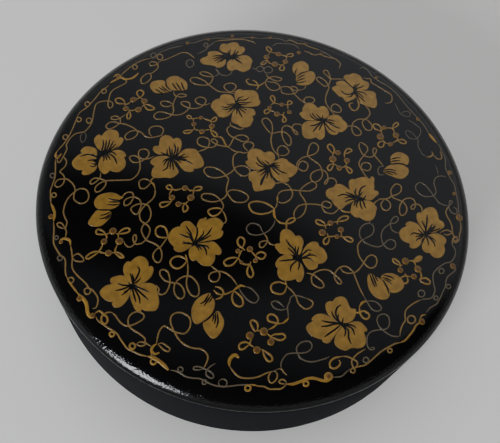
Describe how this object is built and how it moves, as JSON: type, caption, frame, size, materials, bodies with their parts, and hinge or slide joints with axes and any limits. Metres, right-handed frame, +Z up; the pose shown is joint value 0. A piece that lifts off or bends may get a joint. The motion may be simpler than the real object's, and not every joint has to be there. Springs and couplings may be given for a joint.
{
  "type": "trinket box",
  "caption": "Low round trinket box in black lacquered wood with a domed, rolled-edge lid that lifts off a locating collar.",
  "frame": {"origin": "middle of the flat underside that the box stands on", "axes": "+Z up along the axis of the round box; the box is round, so X and Y are free, and the picture looks along +Y"},
  "size_m": [0.1, 0.1, 0.0264],
  "materials": {
    "gloss_lacquer": "black lacquer over wood, polished to a gloss",
    "satin_lacquer": "black lacquer over wood, left satin",
    "gold_paint": "bronze-powder gold paint under clear lacquer"
  },
  "bodies": {
    "base": {"base_floor": "satin_lacquer", "base_wall": "satin_lacquer", "base_collar": "satin_lacquer"},
    "lid": {"lid_hoop": "gloss_lacquer", "lid_board": "gloss_lacquer"}
  },
  "joints": [
    {"name": "lid_lift", "type": "slide", "parent": "base", "child": "lid", "axis": [0, 0, 1], "range_m": [0, 0.06]}
  ]
}
